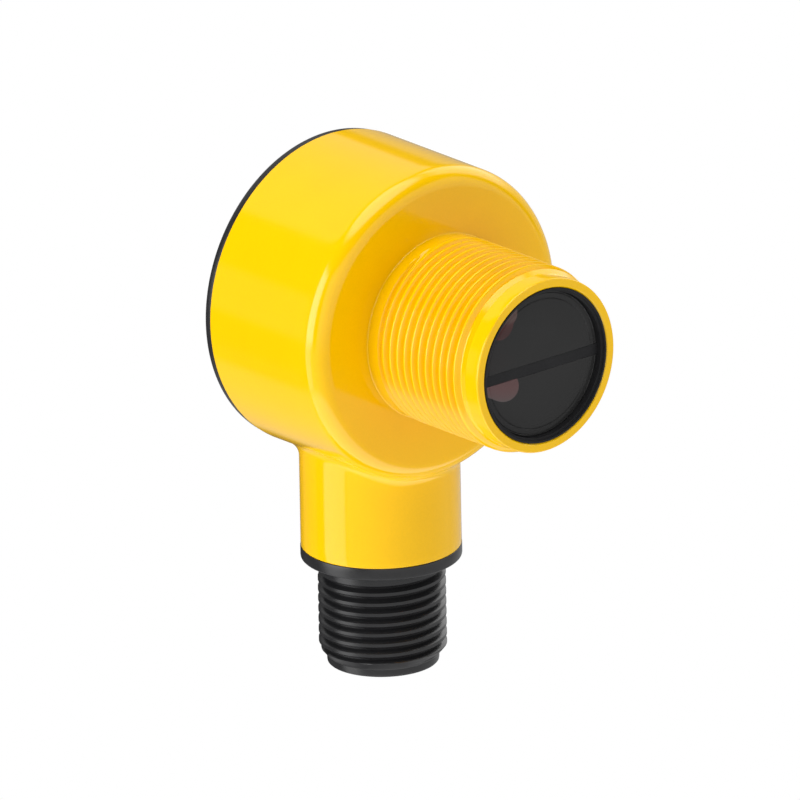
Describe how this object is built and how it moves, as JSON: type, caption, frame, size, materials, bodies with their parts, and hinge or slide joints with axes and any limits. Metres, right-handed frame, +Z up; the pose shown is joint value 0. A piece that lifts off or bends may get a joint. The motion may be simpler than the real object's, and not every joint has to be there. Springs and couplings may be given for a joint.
{
  "type": "photoelectric sensor",
  "caption": "Right-angle photoelectric sensor: round yellow body, threaded front barrel with D-shaped smoked lenses, and a neck with a black threaded plug below.",
  "frame": {"origin": "on the barrel axis, in the plane of the body's front shoulder", "axes": "-Y along the barrel, the way the lenses look; +Z up; the plug points down -Z; +Y out of the rear cover"},
  "size_m": [0.03, 0.0314, 0.0501],
  "materials": {
    "housing_yellow": "glossy moulded, fine grain",
    "black_plastic": "satin moulded",
    "lens_smoke": "polished, smoked",
    "window_black": "fine satin, anti-glare",
    "led_rose": "moulded, red-tinted",
    "clear_plastic": "polished, clear",
    "seal_rubber": "soft matt",
    "board_green": "solder mask",
    "chip_black": "moulded epoxy",
    "capacitor_tan": "fired, plain",
    "indicator_green": "diffused",
    "indicator_amber": "diffused",
    "lead_tin": "tinned",
    "contact_gold": "gold plated",
    "adjuster_white": "moulded",
    "trimmer_blue": "moulded",
    "wire_brown": "extruded",
    "wire_white": "extruded",
    "wire_blue": "extruded",
    "wire_black": "extruded"
  },
  "bodies": {
    "sensor": {"housing": "housing_yellow", "rear_cover": "black_plastic", "rear_cover_seal": "seal_rubber", "power_light_pipe": "clear_plastic", "output_light_pipe": "clear_plastic", "trimmer_body": "trimmer_blue", "lens_frame": "window_black", "emitter_lens": "lens_smoke", "receiver_lens": "lens_smoke", "lens_seal": "seal_rubber", "optics_tube": "window_black", "emitter_led": "led_rose", "emitter_leads": "lead_tin", "receiver_photodiode": "led_rose", "receiver_leads": "lead_tin", "optics_board": "board_green", "preamp_ic": "chip_black", "board_link_header": "black_plastic", "board_link_pins": "contact_gold", "main_board": "board_green", "controller_ic": "chip_black", "voltage_regulator": "chip_black", "filter_capacitors": "capacitor_tan", "output_transistors": "chip_black", "polarity_diode": "chip_black", "power_led": "indicator_green", "output_led": "indicator_amber", "connector_shell": "black_plastic", "connector_seal": "seal_rubber", "contact_carrier": "black_plastic", "contact_1": "contact_gold", "contact_2": "contact_gold", "contact_3": "contact_gold", "contact_4": "contact_gold", "wire_brown": "wire_brown", "wire_white": "wire_white", "wire_blue": "wire_blue", "wire_black": "wire_black"},
    "adjuster": {"gain_adjuster": "adjuster_white", "adjuster_seal": "seal_rubber", "trimmer_rotor": "adjuster_white"}
  },
  "joints": [
    {"name": "gain_turn", "type": "hinge", "parent": "sensor", "child": "adjuster", "pos_m": [0, 0.0155, 0.0045], "axis": [0, -1, 0], "range_deg": [-135, 135]}
  ]
}
